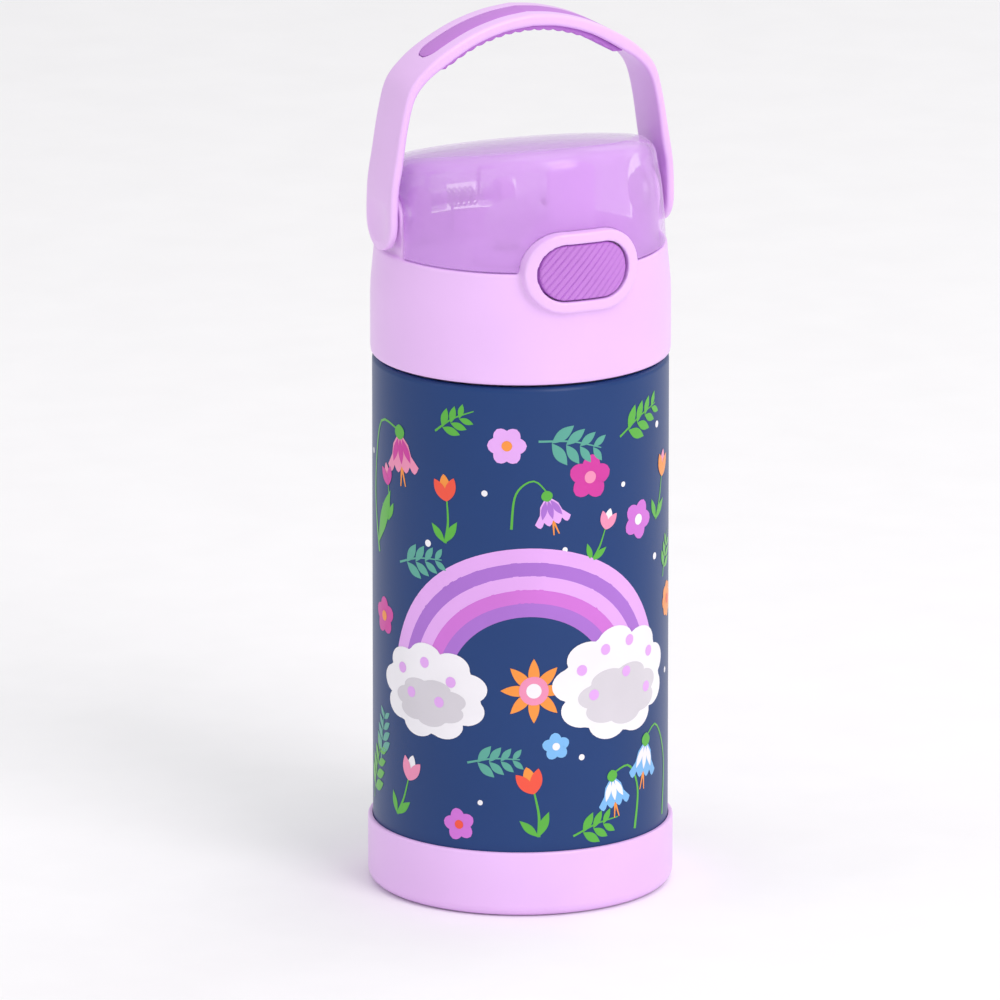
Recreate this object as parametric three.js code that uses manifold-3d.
// A child's insulated straw bottle: a steel vacuum bottle, a screw-on lid with a flip-up cover and a carry handle.
// Millimetres, +Z up, origin at the centre of the base. The push button faces -Y and the handle turns about X.
import * as THREE from "three";
import { mergeVertices } from "three/addons/utils/BufferGeometryUtils.js";
import Module from "manifold-3d";

const wasm = await Module();
wasm.setup();

// Driving dimensions
const BODY_R = 33; // outside of the steel bottle
const WALL = 0.7; // each steel wall
const GAP = 0.3; // room between touching pieces
const BOOT = { r: 34.1, height: 14.9, floor: 2, lip: 1.4 };
const NECK = { r: 25, top: 136, base: 122 };
const THREAD = { pitch: 4.5, depth: 1.1, turns: 1.5, start: 125.6 };
const COLLAR = { r: 33.4, inner: 31.3, bottom: 121.7, top: 146.85 };
const DECK = { bottom: 138.4, top: 140.4 };
const COVER = { bottom: 147.15, r: 32.2, height: 22.7, wall: 1.6, slope: 0.0091 };
const BUTTON = { z: 147.1, halfLength: 10.8, halfHeight: 6.25, face: 34.4 };
const BOSS = { halfLength: 13.7, halfHeight: 8.9, face: 34.8 };
const PIVOT = { z: 154.9, earR: 5.6, earIn: 29.7, earOut: 31.85, pinR: 2.8 };
const HANDLE = { halfWidth: 6.9, endR: 6.9, inner: 32.5, outer: 34.6 };
const HINGE = { y: 31.5, z: 149.5, pinR: 1.2, earR: 3.3, knuckleR: 2.6, length: 12 };
const SPOUT = { y: 7, z: 149, ballR: 5.2, length: 23, tilt: 25 };
const STRAW = { r: 3.6, bore: 2.8, bottom: 9, top: 136.6 };
const VENT = { x: 11, y: -7, bore: 2.1 }; // the air valve in the deck
const STEP = { in: 0.6, top: 13.6 }; // the shell is smaller by this much, up to this height, inside the boot
const KNUCKLE = { in: 4.6, out: 8.1, earIn: 8.5, notch: 12.4 }; // the cover hinge, as distances from x = 0
const TAB = { half: 5.5, out: -27.2, in: -25.6, bottom: 148.6, top: 170.5 }; // the latch tab inside the cover
const PLATE = { halfLength: 11.9, halfHeight: 6.4, out: -30.9, in: -29.7 }; // the catch, behind the button
const BAR = { half: 7.8, railIn: 6.4, out: -22.3, in: -20.7, bottom: 150, top: 153.2 };
const POST = { half: 5, out: -24.6, in: -23, bottom: 140.7, top: 147 }; // carries the button's spring
const GRIP = { topReach: 24.5, topHalf: 3.3, padReach: 21.5, padHalf: 4.7, windowReach: 19, windowHalf: 2.6 };
const RIPPLES = { count: 18, depth: 0.35, pad: 1.3 };
const RIBS = { pitch: 2.35, perSide: 6, width: 0.5, depth: 0.35, angle: 42 };
const FAR = 40; // past every side of the bottle, for cutters that run right through

// Turns a three.js geometry into a solid, and a solid back into a geometry.
function solid(geometry) {
  const plain = geometry.clone();
  plain.deleteAttribute("normal");
  plain.deleteAttribute("uv");
  const merged = mergeVertices(plain, 1e-4);
  const vertProperties = new Float32Array(merged.attributes.position.array);
  const triVerts = new Uint32Array(merged.index.array);
  return new wasm.Manifold(new wasm.Mesh({ numProp: 3, vertProperties, triVerts }));
}

function geometryOf(body) {
  const mesh = body.getMesh();
  const geometry = new THREE.BufferGeometry();
  geometry.setAttribute("position", new THREE.BufferAttribute(new Float32Array(mesh.vertProperties), 3));
  geometry.setIndex(new THREE.BufferAttribute(new Uint32Array(mesh.triVerts), 1));
  geometry.computeVertexNormals();
  return geometry;
}

// A closed outline of [radius, height] pairs, turned about Z.
function lathe(outline, segments = 40) {
  const points = outline.map(([r, z]) => new THREE.Vector2(r, z));
  points.push(points[0].clone());
  if (THREE.ShapeUtils.area(points) < 0) points.reverse();
  return new THREE.LatheGeometry(points, segments).rotateX(Math.PI / 2);
}

// Points on an arc, in degrees anticlockwise from +x.
function arc(cx, cy, radius, from, to, steps = 4) {
  const points = [];
  for (let i = 0; i <= steps; i++) {
    const a = THREE.MathUtils.degToRad(from + ((to - from) * i) / steps);
    points.push([cx + radius * Math.cos(a), cy + radius * Math.sin(a)]);
  }
  return points;
}

function box(x0, x1, y0, y1, z0, z1) {
  const geometry = new THREE.BoxGeometry(x1 - x0, y1 - y0, z1 - z0);
  return solid(geometry.translate((x0 + x1) / 2, (y0 + y1) / 2, (z0 + z1) / 2));
}

// A round bar along X between two x values.
function barX(radius, x0, x1, y, z, segments = 32) {
  const geometry = new THREE.CylinderGeometry(radius, radius, x1 - x0, segments).rotateZ(Math.PI / 2);
  return solid(geometry.translate((x0 + x1) / 2, y, z));
}

// The span between two distances from x = 0 on one side, as [smaller x, larger x].
function span(side, near, far) {
  return side > 0 ? [near, far] : [-far, -near];
}

// A stadium facing -Y: long along X, centred on x = 0, reaching from y0 to y1.
function stadium(halfLength, halfHeight, y0, y1, z, bevel = 0) {
  const straight = halfLength - halfHeight;
  const shape = new THREE.Shape();
  shape.absarc(straight, 0, halfHeight, -Math.PI / 2, Math.PI / 2, false);
  shape.absarc(-straight, 0, halfHeight, Math.PI / 2, 1.5 * Math.PI, false);
  const options = {
    depth: y1 - y0 - 2 * bevel,
    bevelEnabled: bevel > 0,
    bevelThickness: bevel,
    bevelSize: bevel,
    bevelOffset: -bevel,
    bevelSegments: 2,
    curveSegments: 7,
  };
  const geometry = new THREE.ExtrudeGeometry(shape, options);
  return solid(geometry.rotateX(Math.PI / 2).translate(0, y1 - bevel, z));
}

function ring(outer, inner, z0, z1, segments = 40) {
  return solid(lathe([[inner, z0], [outer, z0], [outer, z1], [inner, z1]], segments));
}

// A bar of the given cross-section wound into a helix about Z: a straight extrusion with its vertices moved.
// The helix passes z0 at the start angle, and the bar begins lead turns further up it.
function helix(section, z0, pitch, turns, lead = 0) {
  const stepsPerTurn = 20;
  const startAngle = 0.1;
  const options = { depth: 1, steps: Math.round(stepsPerTurn * turns), bevelEnabled: false };
  const geometry = new THREE.ExtrudeGeometry(section, options);
  const position = geometry.attributes.position;
  for (let i = 0; i < position.count; i++) {
    const along = lead + (1 - position.getZ(i)) * turns;
    const angle = startAngle + 2 * Math.PI * along;
    const r = position.getX(i);
    const z = z0 + position.getY(i) + pitch * along;
    position.setXYZ(i, r * Math.cos(angle), r * Math.sin(angle), z);
  }
  return solid(geometry);
}

function threadSection(root, crest, rootHalf, crestHalf) {
  const shape = new THREE.Shape();
  shape.moveTo(root, -rootHalf);
  shape.lineTo(crest, -crestHalf);
  shape.lineTo(crest, crestHalf);
  shape.lineTo(root, rootHalf);
  shape.closePath();
  return shape;
}

// A wire of round section along a list of points.
function wire(points, radius, steps) {
  const section = new THREE.Shape();
  section.absarc(0, 0, radius, 0, 2 * Math.PI, false);
  const path = new THREE.CatmullRomCurve3(points, false, "centripetal");
  const options = { steps, extrudePath: path, bevelEnabled: false, curveSegments: 2 };
  return new THREE.ExtrudeGeometry(section, options);
}

const group = new THREE.Group();

function add(name, shape, color, roughness, metalness = 0) {
  const geometry = shape.isBufferGeometry ? shape : geometryOf(shape);
  const mesh = new THREE.Mesh(geometry, new THREE.MeshStandardMaterial({ color, roughness, metalness }));
  mesh.name = name;
  group.add(mesh);
  return mesh;
}

const LILAC = 0xdcb4f4;
const PURPLE = 0xb57bd6;
const NAVY = 0x24447c;
const STEEL = 0xb9bcc0;
const CLEAR = 0xf2eef6;

// Steel bottle
function outerShell() {
  const r = BODY_R;
  const step = r - STEP.in;
  const neckIn = NECK.r - WALL;
  const outline = [
    [step - 0.5, 2.4],
    [step, 2.9],
    [step, STEP.top],
    [r, STEP.top + STEP.in],
    [r, 119.9],
    ...arc(r - 1.4, 119.9, 1.4, 0, 90, 3),
    [NECK.r + 1.4, 121.5],
    [NECK.r + 0.3, NECK.base],
    [NECK.r, NECK.base + 0.9],
    [NECK.r, NECK.top - 0.4],
    [NECK.r - 0.3, NECK.top],
    [neckIn, NECK.top],
    [neckIn, NECK.base + 0.6],
    [NECK.r + 0.6, 120.7],
    [r - 1.6, 120.5],
    [r - WALL, 119.5],
    [r - WALL, 14.6],
    [step - WALL, 13.9],
    [step - WALL, 2.4],
  ];
  const section = threadSection(NECK.r - 0.3, NECK.r + THREAD.depth, 1.3, 0.5);
  const thread = helix(section, THREAD.start, THREAD.pitch, THREAD.turns);
  return solid(lathe(outline, 36)).add(thread);
}

function innerLiner() {
  const outer = BODY_R - WALL - 1.3;
  const inner = outer - WALL;
  const neck = NECK.r - WALL - GAP;
  const outline = [
    [0, 5.5],
    ...arc(outer - 5.7, 11.2, 5.7, 270, 360, 3),
    [outer, 115],
    [outer - 1.6, 118],
    [neck + 1.2, 119.9],
    [neck, 121.6],
    [neck, NECK.top],
    [neck - WALL, NECK.top],
    [neck - WALL, 121.2],
    [neck + 0.6, 119.4],
    [outer - 2.2, 117.4],
    [inner, 114.7],
    ...arc(outer - 5.7, 11.2, 5, 360, 270, 3),
    [0, 6.2],
  ];
  return lathe(outline, 32);
}

function basePlate() {
  const rim = BODY_R - STEP.in - WALL - GAP;
  return lathe([[0, 2.6], [rim, 2.6], [rim, 6], [rim - WALL, 6], [rim - WALL, 3.4], [0, 3.4]], 40);
}

function baseBoot() {
  const inner = BODY_R - STEP.in + GAP;
  const lipIn = BODY_R + GAP;
  const { r, height, floor } = BOOT;
  const outline = [
    [0, 0],
    ...arc(r - 2.6, 2.6, 2.6, 270, 360, 4),
    ...arc(r - 0.5, height - 0.5, 0.5, 0, 90, 2),
    [lipIn, height],
    [lipIn, height - BOOT.lip],
    [inner, height - BOOT.lip - 0.3],
    [inner, floor],
    [0, floor],
  ];
  return lathe(outline, 36);
}

// Lid
const collarOutline = [
  [COLLAR.r - 0.5, COLLAR.bottom],
  [COLLAR.r - 0.1, COLLAR.bottom + 0.4],
  [COLLAR.r, 126],
  [COLLAR.r - 0.05, 137],
  [COLLAR.r - 0.4, 141],
  [COLLAR.r - 0.7, 143.5],
  [COLLAR.r - 0.9, COLLAR.top - 0.5],
  [COLLAR.r - 1.3, COLLAR.top],
  [COLLAR.inner, COLLAR.top],
  [COLLAR.inner, COLLAR.bottom],
];

// The side ear that carries a handle pivot; grow makes the same shape larger, for the cover's notch.
function ear(side, xIn, xOut, grow = 0, foot = 141) {
  const r = PIVOT.earR + grow;
  const [x0, x1] = span(side, xIn, xOut);
  const footX0 = grow > 0 ? x0 : Math.max(x0, -31.4);
  const footX1 = grow > 0 ? x1 : Math.min(x1, 31.4);
  const footBox = box(footX0, footX1, -r, r, foot, PIVOT.z);
  return barX(r, x0, x1, 0, PIVOT.z, 40).add(footBox);
}

function lidCollar() {
  const frontOf = (face) => solid(lathe([[0, 120], [face, 120], [face, 180], [0, 180]], 56));
  const bossBlock = stadium(BOSS.halfLength, BOSS.halfHeight, -37, -24, BUTTON.z);
  const bossBack = ring(60, COLLAR.inner + 0.3, 120, 180, 56);
  const boss = bossBlock.intersect(frontOf(BOSS.face)).intersect(bossBack);
  let collar = solid(lathe(collarOutline, 40)).add(boss);
  for (const side of [-1, 1]) {
    const hole = barX(PIVOT.pinR + GAP, ...span(side, 25, FAR), 0, PIVOT.z);
    collar = collar.add(ear(side, PIVOT.earIn, PIVOT.earOut)).subtract(hole);
  }
  for (const side of [-1, 1]) {
    const [x0, x1] = span(side, KNUCKLE.earIn, HINGE.length);
    const hingeEar = barX(HINGE.earR, x0, x1, HINGE.y, HINGE.z);
    const foot = box(x0, x1, HINGE.y - 2.6, HINGE.y + 1, 141, HINGE.z);
    collar = collar.add(hingeEar).add(foot);
  }
  const buttonHole = stadium(BUTTON.halfLength + 0.35, BUTTON.halfHeight + 0.35, -40, -25, BUTTON.z);
  const pocket = stadium(12.4, 6.9, -31.2, -24, BUTTON.z);
  const hingeRoom = barX(3, -8.4, 8.4, HINGE.y, HINGE.z);
  const pinBore = barX(HINGE.pinR + GAP, -20, 20, HINGE.y, HINGE.z, 20);
  return collar.subtract(buttonHole).subtract(pocket).subtract(hingeRoom).subtract(pinBore);
}

function lidInsert() {
  const skirt = ring(29, NECK.r + 1.6, 123.4, DECK.bottom + 0.5);
  const deck = solid(lathe([[0, DECK.bottom], [COLLAR.inner - GAP, DECK.bottom],
    [COLLAR.inner - GAP, DECK.top], [0, DECK.top]]));
  const plug = ring(22.3, 20.4, 133.4, DECK.bottom + 0.5);
  const section = threadSection(NECK.r + 2.7, NECK.r + 0.5, 1.3, 0.4);
  const thread = helix(section, THREAD.start - 1.75, THREAD.pitch, 1.15, 0.33);
  const hole = (r, x, y, segments) =>
    solid(new THREE.CylinderGeometry(r, r, 20, segments).rotateX(Math.PI / 2).translate(x, y, DECK.bottom));
  const holes = hole(SPOUT.ballR + 2 * GAP, 0, SPOUT.y, 40).add(hole(VENT.bore, VENT.x, VENT.y, 24));
  return skirt.add(deck).add(plug).add(thread).subtract(holes);
}

function ventValve() {
  const outline = [
    [0, 136.4], [2.4, 136.4], [2.7, 137.6], [2.4, 138.1], [1.8, 138.1], [1.8, 140.7],
    [4, 140.7], [4, 141.3], [2.4, 142.1], [0, 142.3],
  ];
  return lathe(outline, 20).translate(VENT.x, VENT.y, 0);
}

function lidGasket() {
  return lathe([[22.6, 136.3], [25.6, 136.3], [25.9, 137.2], [25.6, 138.1], [22.6, 138.1]], 40);
}

function spoutBase() {
  const outline = [
    [3.9, 131], [6.6, 131.6], [7, 138.1], [5.5, 138.1], [5.5, 140.7], [7.6, 140.7], [7.6, 141.8],
    [6, 143.4], [3, 143.4], [3, 137], [3.9, 137],
  ];
  return lathe(outline, 28).translate(0, SPOUT.y, 0);
}

function spoutTip() {
  const { ballR, length } = SPOUT;
  const outline = [
    [2.4, -4.4],
    ...arc(0, 0, ballR, -58, 40, 6),
    [4.2, 7],
    [4.1, 14],
    [4.7, 18],
    [4.9, 20.5],
    ...arc(3.7, length - 1.3, 1.3, 0, 90, 3),
    [2.4, length],
  ];
  const tip = lathe(outline, 24);
  return tip.rotateX(THREE.MathUtils.degToRad(90 - SPOUT.tilt)).translate(0, SPOUT.y, SPOUT.z);
}

function straw() {
  return lathe([[STRAW.bore, STRAW.bottom], [STRAW.r, STRAW.bottom], [STRAW.r, STRAW.top],
    [STRAW.bore, STRAW.top]], 28).translate(0, SPOUT.y, 0);
}

// The cover is turned as a level cap, then leaned so that its roof rises towards the button.
function coverSkin(inset, bottom) {
  const { r, height } = COVER;
  const roof = (x) => height - 1.5 * (x / 26.5) ** 2 - inset;
  const outline = [
    [0, bottom],
    [r - inset, bottom],
    [r - 0.25 - inset, 5],
    [r - 1 - inset, 12],
    ...arc(r - 6.9, 16.2, 5 - inset, 4, 82, 4),
    [14, roof(14)],
    [0, roof(0)],
  ];
  const geometry = lathe(outline, 40);
  const position = geometry.attributes.position;
  for (let i = 0; i < position.count; i++) {
    const lean = 1 - COVER.slope * position.getY(i);
    const h = position.getZ(i);
    position.setZ(i, COVER.bottom + (h > 0 ? h * lean : h));
  }
  return solid(geometry);
}

function flipCover() {
  let cover = coverSkin(0, 0).subtract(coverSkin(COVER.wall, -5));
  const behindPivot = box(-FAR, FAR, 0, FAR, 140, 180);
  const bossNotch = stadium(BOSS.halfLength + 0.4, BOSS.halfHeight + 0.4, -40, -20, BUTTON.z);
  cover = cover.subtract(bossNotch);
  for (const side of [-1, 1]) {
    const [x0, x1] = span(side, 25, FAR);
    const sweepRoom = box(x0, x1, -PIVOT.earR - 1.6, 0, 145, 152);
    const armRoom = ear(side, 25, FAR, 3).intersect(behindPivot); // for the handle's arm as both swing back
    cover = cover.subtract(ear(side, 25, FAR, 0.5)).subtract(sweepRoom).subtract(armRoom);
  }
  const notchTop = HINGE.z + HINGE.earR + 0.4;
  cover = cover.subtract(box(-KNUCKLE.notch, KNUCKLE.notch, 20, FAR, 140, notchTop));
  for (const side of [-1, 1]) {
    const [x0, x1] = span(side, KNUCKLE.in, KNUCKLE.out);
    const knuckle = barX(HINGE.knuckleR, x0, x1, HINGE.y, HINGE.z, 24);
    cover = cover.add(knuckle).add(box(x0, x1, 29.7, 33.2, HINGE.z, 155.5));
  }
  const tab = box(-TAB.half, TAB.half, TAB.out, TAB.in, TAB.bottom, TAB.top);
  const barb = box(-TAB.half, TAB.half, TAB.in - 0.4, TAB.in + 1.4, TAB.bottom, TAB.bottom + 2.6);
  const pinBore = barX(HINGE.pinR + GAP, -20, 20, HINGE.y, HINGE.z, 20);
  return cover.add(tab).add(barb).subtract(pinBore);
}

function hingeSpring() {
  const radius = 2.05;
  const turns = 5;
  const halfWidth = 3.2;
  const legY = HINGE.y - radius;
  const points = [new THREE.Vector3(-halfWidth, legY, 142), new THREE.Vector3(-halfWidth, legY, 146)];
  const stepsPerTurn = 8;
  for (let i = 0; i <= turns * stepsPerTurn; i++) {
    const a = Math.PI - (2 * Math.PI * i) / stepsPerTurn;
    const x = -halfWidth + (2 * halfWidth * i) / (turns * stepsPerTurn);
    points.push(new THREE.Vector3(x, HINGE.y + radius * Math.cos(a), HINGE.z + radius * Math.sin(a)));
  }
  points.push(new THREE.Vector3(halfWidth, HINGE.y - radius - 0.3, 153));
  points.push(new THREE.Vector3(halfWidth, HINGE.y - radius - 1, 157));
  return wire(points, 0.32, 56);
}

// Push button, its catch and its spring
function pushButton() {
  const block = stadium(BUTTON.halfLength, BUTTON.halfHeight, -37, -31.2, BUTTON.z);
  const face = solid(lathe([[0, 130], [BUTTON.face, 130], [BUTTON.face, 165], [0, 165]], 64));
  let button = block.intersect(face);
  for (let i = -RIBS.perSide; i <= RIBS.perSide; i++) {
    const groove = new THREE.BoxGeometry(RIBS.width, 1.2, FAR).rotateY(THREE.MathUtils.degToRad(RIBS.angle));
    const cutter = solid(groove.translate(i * RIBS.pitch, -BUTTON.face, BUTTON.z));
    button = button.subtract(cutter.subtract(grooveStop()));
  }
  return button;
}

// Keeps the grooves on the button's face to an even depth round its curve.
function grooveStop() {
  const r = BUTTON.face - RIBS.depth;
  return solid(lathe([[0, 120], [r, 120], [r, 175], [0, 175]], 64));
}

function buttonLatch() {
  const plate = stadium(PLATE.halfLength, PLATE.halfHeight, PLATE.out, PLATE.in, BUTTON.z);
  const bar = box(-BAR.half, BAR.half, BAR.out, BAR.in, BAR.bottom, BAR.top);
  const nose = box(-POST.half, POST.half, BAR.out - 1.3, BAR.out + 0.3, BAR.top - 1.4, BAR.top);
  let latch = plate.add(bar).add(nose);
  for (const side of [-1, 1]) {
    const [x0, x1] = span(side, BAR.railIn, BAR.half);
    latch = latch.add(box(x0, x1, PLATE.in - 0.3, BAR.in, BAR.bottom, BAR.bottom + 2));
  }
  return latch;
}

function buttonRetainer() {
  const footTop = POST.bottom + 1.3;
  const foot = box(-10, 10, POST.out - 0.9, -16, POST.bottom, footTop);
  const post = box(-POST.half, POST.half, POST.out, POST.in, footTop - 0.5, POST.top);
  const brace = box(-0.8, 0.8, POST.in - 0.5, -18, footTop - 0.5, POST.top - 2);
  return foot.add(post).add(brace);
}

function buttonSpring() {
  const radius = 1.7;
  const axisZ = 144.6;
  const front = -29;
  const length = 3.7;
  const turns = 4;
  const stepsPerTurn = 8;
  const count = turns * stepsPerTurn;
  const points = [];
  for (let i = 0; i <= count; i++) {
    const a = (2 * Math.PI * i) / stepsPerTurn;
    const y = front + (length * i) / count;
    points.push(new THREE.Vector3(radius * Math.cos(a), y, axisZ + radius * Math.sin(a)));
  }
  return wire(points, 0.28, 40);
}

// Carry handle: two smooth outlines in the XZ plane, mirrored about x = 0
const outerCurve = new THREE.SplineCurve([[0, 199.3], [6.6, 198.5], [13.9, 196.4], [21.2, 192.8],
  [26.1, 189.3], [29.8, 185], [31.7, 178.5], [33.2, 169.8], [34.3, 163], [34.6, 157]]
  .map(([x, z]) => new THREE.Vector2(x, z)));
const innerCurve = new THREE.SplineCurve([[0, 196.4], [6.6, 195.7], [13.9, 193.4], [21.2, 189.3],
  [25.8, 186], [28.5, 182.2], [30.1, 175.9], [31.4, 167], [32.2, 162.5], [32.5, 157]]
  .map(([x, z]) => new THREE.Vector2(x, z)));

function mirrored(right) {
  const left = right.slice(1).reverse();
  return [...left.map(([x, z]) => [-x, z]), ...right];
}

function curvePoints(curve, count) {
  return curve.getSpacedPoints(count).map((p) => [p.x, p.y]);
}

// Extrudes an outline in the XZ plane along Y, centred on y = 0.
function slabY(outline, halfWidth, bevel = 0) {
  const shape = new THREE.Shape(outline.map(([x, z]) => new THREE.Vector2(x, z)));
  const options = {
    depth: 2 * (halfWidth - bevel),
    bevelEnabled: bevel > 0,
    bevelThickness: bevel,
    bevelSize: bevel,
    bevelOffset: -bevel,
    bevelSegments: 1,
  };
  const geometry = new THREE.ExtrudeGeometry(shape, options).rotateX(Math.PI / 2);
  return solid(geometry.translate(0, halfWidth - bevel, 0));
}

// The height of one of the handle's curves at a given x.
function heightAt(curve, x) {
  const points = curvePoints(curve, 120);
  const i = Math.max(1, points.findIndex((p) => p[0] >= Math.abs(x)));
  const [x0, z0] = points[i - 1];
  const [x1, z1] = points[i];
  return z0 + ((z1 - z0) * (Math.abs(x) - x0)) / (x1 - x0);
}

// A slab that follows the handle's top between two height functions of x.
function followTop(reach, halfWidth, topOf, bottomOf, count) {
  const outline = [];
  for (let i = 0; i <= count; i++) {
    const x = -reach + (2 * reach * i) / count;
    outline.push([x, topOf(x)]);
  }
  for (let i = count; i >= 0; i--) {
    const x = -reach + (2 * reach * i) / count;
    outline.push([x, bottomOf(x)]);
  }
  return slabY(outline, halfWidth);
}

function handle() {
  const bottom = PIVOT.z - HANDLE.endR;
  const outline = [
    ...mirrored([...curvePoints(outerCurve, 18), [HANDLE.outer, bottom]]),
    ...mirrored([...curvePoints(innerCurve, 18), [HANDLE.inner, bottom]]).reverse(),
  ];
  let loop = slabY(outline, HANDLE.halfWidth, 0.6);
  const rounded = barX(HANDLE.endR, -FAR, FAR, 0, PIVOT.z, 48).add(box(-FAR, FAR, -20, 20, PIVOT.z, 210));
  loop = loop.intersect(rounded);
  for (const side of [-1, 1]) {
    const socket = barX(PIVOT.pinR + GAP, ...span(side, 30, 33.8), 0, PIVOT.z);
    loop = loop.subtract(socket);
  }
  const top = (x) => heightAt(outerCurve, x);
  const inner = (x) => heightAt(innerCurve, x);
  const recess = followTop(GRIP.topReach, GRIP.topHalf, (x) => top(x) + 2, (x) => top(x) - 1.2, 24);
  const opening = followTop(GRIP.windowReach, GRIP.windowHalf, (x) => top(x) + 2, (x) => inner(x) - 2, 16);
  return loop.subtract(recess).subtract(opening);
}

function handleGrip() {
  const top = (x) => heightAt(outerCurve, x);
  const inner = (x) => heightAt(innerCurve, x);
  const rippleLength = (2 * GRIP.padReach) / RIPPLES.count;
  const wave = (x) => Math.abs(Math.cos((Math.PI * x) / rippleLength));
  const ripple = (x) => inner(x) - RIPPLES.pad - RIPPLES.depth * wave(x);
  const inlay = followTop(GRIP.topReach - GAP, GRIP.topHalf - GAP, top, (x) => top(x) - 0.9, 24);
  const coreReach = GRIP.windowReach - GAP;
  const core = followTop(coreReach, GRIP.windowHalf - GAP, (x) => top(x) - 0.5, (x) => inner(x) - 1, 16);
  const pad = followTop(GRIP.padReach, GRIP.padHalf, (x) => inner(x) - 0.35, ripple, 4 * RIPPLES.count);
  return inlay.add(core).add(pad);
}

function handlePivot(side) {
  const head = barX(PIVOT.pinR + 1.4, ...span(side, 28.2, 29.4), 0, PIVOT.z, 28);
  const shank = barX(PIVOT.pinR, ...span(side, 29, 33.5), 0, PIVOT.z, 28);
  return head.add(shank);
}

add("outer_shell", outerShell(), NAVY, 0.35, 0.4);
add("base_plate", basePlate(), STEEL, 0.35, 1);
add("inner_liner", innerLiner(), STEEL, 0.3, 1);
add("vacuum_getter", lathe([[0, 3.7], [5, 3.7], [5, 4.9], [0, 4.9]], 24), STEEL, 0.6, 1);
add("base_boot", baseBoot(), LILAC, 0.45);
add("lid_gasket", lidGasket(), CLEAR, 0.6);
add("lid_collar", lidCollar(), LILAC, 0.4);
add("lid_insert", lidInsert(), LILAC, 0.5);
add("vent_valve", ventValve(), CLEAR, 0.6);
add("spout_base", spoutBase(), CLEAR, 0.55);
add("spout_tip", spoutTip(), CLEAR, 0.55);
add("straw", straw(), CLEAR, 0.3);
add("flip_cover", flipCover(), LILAC, 0.15);
add("cover_hinge_pin", barX(HINGE.pinR, -HINGE.length, HINGE.length, HINGE.y, HINGE.z, 20), STEEL, 0.3, 1);
add("cover_spring", hingeSpring(), STEEL, 0.35, 1);
add("push_button", pushButton(), PURPLE, 0.5);
add("button_latch", buttonLatch(), LILAC, 0.5);
add("button_retainer", buttonRetainer(), LILAC, 0.5);
add("button_spring", buttonSpring(), STEEL, 0.35, 1);
add("handle", handle(), LILAC, 0.4);
add("handle_grip", handleGrip(), PURPLE, 0.6);
add("handle_pivot_left", handlePivot(-1), LILAC, 0.5);
add("handle_pivot_right", handlePivot(1), LILAC, 0.5);

export default group;
